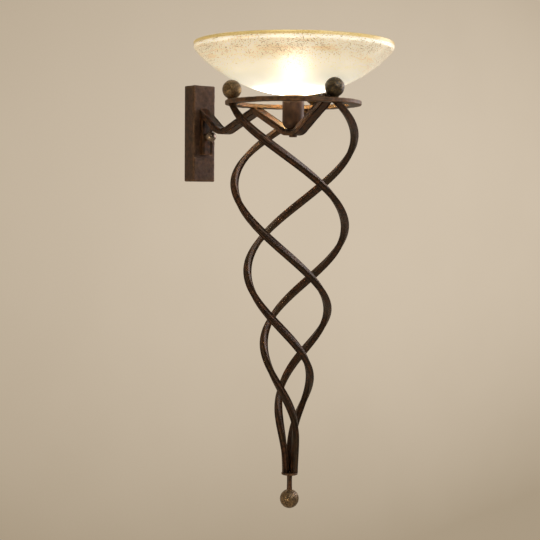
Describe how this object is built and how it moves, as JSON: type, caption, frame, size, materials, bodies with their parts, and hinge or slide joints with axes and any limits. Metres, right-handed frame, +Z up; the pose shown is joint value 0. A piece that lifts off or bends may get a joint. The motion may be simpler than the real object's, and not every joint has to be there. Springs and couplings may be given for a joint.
{
  "type": "torch wall sconce",
  "caption": "Wall lamp shaped like a torch: an open amber glass bowl on a ring above a tapering basket of twisted square iron bars, held by a bent flat arm on a wall plate.",
  "frame": {"origin": "centre of the wall plate's back face, on the wall", "axes": "+Y into the wall, -Y out into the room, +Z up, +X to the right for someone who faces the wall; the torch's upright axis is at X 0, Y -0.344"},
  "size_m": [0.4026, 0.5452, 0.9485],
  "materials": {
    "rust_iron": "hammered iron with a mottled rust-brown and bronze patina",
    "patina_iron": "speckled olive-bronze patina",
    "cup_iron": "smooth dark rust-brown",
    "zinc_steel": "zinc plated",
    "ground_green": "green dyed steel",
    "brass": "plain turned brass",
    "porcelain": "glazed porcelain",
    "gasket_felt": "soft white gasket",
    "amber_glass": "satin alabaster-like glass with amber scavo flecks",
    "white_steel": "white enamel",
    "solder": "dull solder",
    "bulb_insulator": "black fused glass",
    "bulb_metal": "bright drawn sheet",
    "bulb_frost": "frosted white",
    "bulb_mount_glass": "clear",
    "filament": "coiled wire"
  },
  "bodies": {
    "fixture": {"wall_plate": "rust_iron", "mounting_strap": "zinc_steel", "ground_screw": "ground_green", "mounting_stud": "brass", "stud_lock_nut": "brass", "ball_nut": "patina_iron", "arm_bar": "rust_iron", "support_ring": "rust_iron", "ring_ball_front": "patina_iron", "ring_ball_left": "patina_iron", "ring_ball_right": "patina_iron", "spiral_bar_front": "rust_iron", "spiral_bar_left": "rust_iron", "spiral_bar_right": "rust_iron", "tip_disc": "rust_iron", "tip_stem": "rust_iron", "tip_ball": "patina_iron", "socket_cup": "cup_iron", "cup_nipple": "brass", "nipple_cap_nut": "cup_iron", "cup_lock_nut": "brass", "socket_body": "porcelain", "socket_shell": "brass", "socket_contact": "brass", "cup_gasket": "gasket_felt", "glass_bowl": "amber_glass", "shade_ring": "white_steel"},
    "bulb_foot": {"bulb_contact": "solder", "bulb_insulator": "bulb_insulator"},
    "bulb": {"bulb_base": "bulb_metal", "bulb_glass": "bulb_frost", "bulb_stem": "bulb_mount_glass", "bulb_filament": "filament"}
  },
  "joints": [
    {"name": "bulb_rise", "type": "slide", "parent": "fixture", "child": "bulb_foot", "axis": [0, 0, 1], "range_m": [0, 0.0182]},
    {"name": "bulb_turn", "type": "hinge", "parent": "bulb_foot", "child": "bulb", "pos_m": [0, -0.344, 0.05716], "axis": [0, 0, 1], "range_deg": [0, 1800]}
  ],
  "couplings": [
    {"joint": "bulb_rise", "follows": "bulb_turn", "m_per_rad": 0.0005775}
  ]
}
